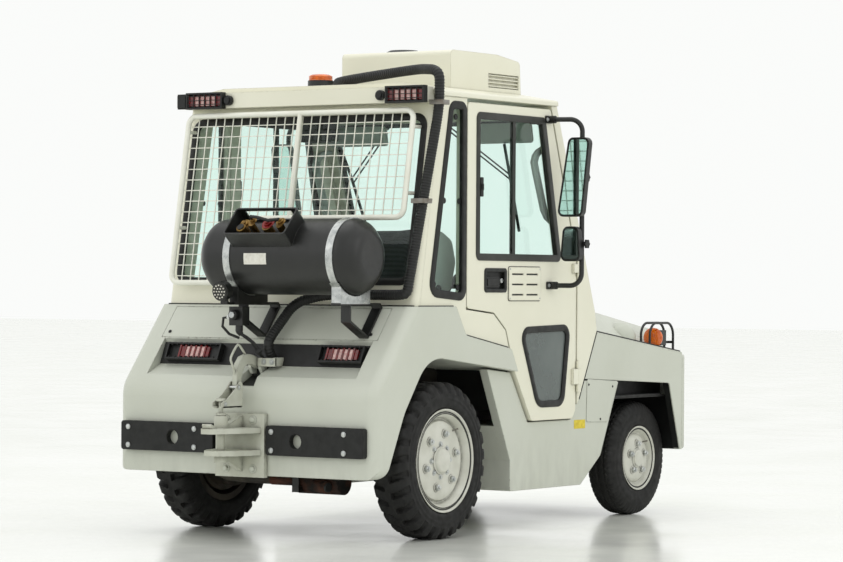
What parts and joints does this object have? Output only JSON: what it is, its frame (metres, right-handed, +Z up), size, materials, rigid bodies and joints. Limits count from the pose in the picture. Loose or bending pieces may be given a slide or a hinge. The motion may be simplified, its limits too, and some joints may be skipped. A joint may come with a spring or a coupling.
{
  "type": "airport tow tractor",
  "caption": "Low airport tow tractor with an ivory cab, grey body, gas cylinder and window guard behind, rear push pads and a pin tow coupler.",
  "frame": {"origin": "on the ground, midway along the overall length and on the middle of the width", "axes": "+X forward, +Y to the driver's left, +Z up"},
  "size_m": [2.929, 1.7458, 2.1253],
  "materials": {
    "body_paint": "satin",
    "cab_paint": "satin",
    "black_steel": "satin",
    "black_plastic": "matte",
    "hitch_steel": "satin",
    "bright_steel": "satin",
    "rusty_steel": "matte",
    "valve_brass": "satin",
    "rim_paint": "satin",
    "tyre_rubber": "matte",
    "pad_rubber": "matte",
    "window_glass": "gloss",
    "lamp_red": "gloss",
    "lamp_amber": "gloss",
    "lamp_clear": "gloss",
    "seat_cloth": "matte"
  },
  "bodies": {
    "chassis": {"aircon_hose": "pad_rubber", "aircon_unit": "cab_paint", "amber_lamps": "lamp_amber", "bumper_pads": "pad_rubber", "cab_floor": "black_plastic", "cab_front_frame": "cab_paint", "cab_glass": "window_glass", "cab_rear_wall": "cab_paint", "cab_roof": "cab_paint", "cab_sides": "cab_paint", "cylinder_cradle": "black_steel", "cylinder_straps": "bright_steel", "cylinder_valves": "valve_brass", "dashboard": "black_plastic", "engine_block": "black_steel", "exhaust": "rusty_steel", "fan_cover": "black_plastic", "frame": "black_steel", "front_axle": "black_steel", "front_fenders": "body_paint", "front_panel": "body_paint", "gas_cylinder": "black_steel", "gas_regulator": "black_plastic", "guard_wires": "cab_paint", "headlamps": "lamp_clear", "hood": "body_paint", "hose_clips": "bright_steel", "lamp_bases": "black_plastic", "light_beam": "cab_paint", "rear_axle": "black_steel", "rear_body": "body_paint", "rear_guard": "cab_paint", "rear_lamps": "lamp_red", "rear_panel": "body_paint", "seat_back": "seat_cloth", "seat_cushion": "seat_cloth", "side_sills": "body_paint", "tow_coupler": "hitch_steel", "work_lamp": "black_plastic"},
    "rear_wheel_left": {"rear_tyre_left": "tyre_rubber", "rear_rim_left": "rim_paint"},
    "rear_wheel_right": {"rear_tyre_right": "tyre_rubber", "rear_rim_right": "rim_paint"},
    "front_wheel_left": {"front_tyre_left": "tyre_rubber", "front_rim_left": "rim_paint"},
    "front_wheel_right": {"front_tyre_right": "tyre_rubber", "front_rim_right": "rim_paint"},
    "left_steering_knuckle": {"knuckle_left": "black_steel"},
    "right_steering_knuckle": {"knuckle_right": "black_steel"},
    "steering_tie_rod": {"tie_rod": "black_steel"},
    "steering_hand_wheel": {"steering_wheel": "black_plastic"},
    "left_door": {"door_left": "cab_paint", "door_left_glass": "window_glass", "mirror_left": "black_plastic"},
    "right_door": {"door_right": "cab_paint", "door_right_glass": "window_glass", "mirror_right": "black_plastic"},
    "tow_pin": {"coupler_pin": "hitch_steel"},
    "tow_lever": {"coupler_lever": "hitch_steel"}
  },
  "joints": [
    {"name": "rear_left_spin", "type": "hinge", "parent": "chassis", "child": "rear_wheel_left", "pos_m": [-0.6645, 0.604, 0.335], "axis": [0, 1, 0], "continuous": true},
    {"name": "rear_right_spin", "type": "hinge", "parent": "chassis", "child": "rear_wheel_right", "pos_m": [-0.6645, -0.604, 0.335], "axis": [0, 1, 0], "continuous": true},
    {"name": "steer_left", "type": "hinge", "parent": "chassis", "child": "left_steering_knuckle", "pos_m": [1.1505, 0.478, 0.268], "axis": [0, 0, 1], "range_deg": [-35, 35]},
    {"name": "steer_right", "type": "hinge", "parent": "chassis", "child": "right_steering_knuckle", "pos_m": [1.1505, -0.478, 0.268], "axis": [0, 0, 1], "range_deg": [-35, 35]},
    {"name": "front_left_spin", "type": "hinge", "parent": "left_steering_knuckle", "child": "front_wheel_left", "pos_m": [1.1505, 0.552, 0.268], "axis": [0, 1, 0], "continuous": true},
    {"name": "front_right_spin", "type": "hinge", "parent": "right_steering_knuckle", "child": "front_wheel_right", "pos_m": [1.1505, -0.552, 0.268], "axis": [0, 1, 0], "continuous": true},
    {"name": "tie_rod_turn", "type": "hinge", "parent": "left_steering_knuckle", "child": "steering_tie_rod", "pos_m": [1.0785, 0.478, 0.242], "axis": [0, 0, 1], "range_deg": [-35, 35]},
    {"name": "hand_wheel_turn", "type": "hinge", "parent": "chassis", "child": "steering_hand_wheel", "pos_m": [0.2405, -0.265, 1.08], "axis": [-0.6508, 0, 0.7593], "range_deg": [-490, 490]},
    {"name": "left_door_swing", "type": "hinge", "parent": "chassis", "child": "left_door", "pos_m": [0.4235, 0.663, 0.9], "axis": [0, 0, -1], "range_deg": [0, 80]},
    {"name": "right_door_swing", "type": "hinge", "parent": "chassis", "child": "right_door", "pos_m": [0.4235, -0.663, 0.9], "axis": [0, 0, 1], "range_deg": [0, 80]},
    {"name": "tow_lever_lift", "type": "hinge", "parent": "chassis", "child": "tow_lever", "pos_m": [-1.1105, 0, 0.742], "axis": [0, 1, 0], "range_deg": [0, 28]},
    {"name": "tow_pin_lift", "type": "slide", "parent": "chassis", "child": "tow_pin", "axis": [0, 0, 1], "range_m": [0, 0.115]}
  ],
  "couplings": [
    {"joint": "steer_right", "follows": "steer_left", "ratio": 1},
    {"joint": "tie_rod_turn", "follows": "steer_left", "ratio": -1},
    {"joint": "hand_wheel_turn", "follows": "steer_left", "ratio": 12},
    {"joint": "tow_pin_lift", "follows": "tow_lever_lift", "m_per_rad": 0.22836}
  ]
}
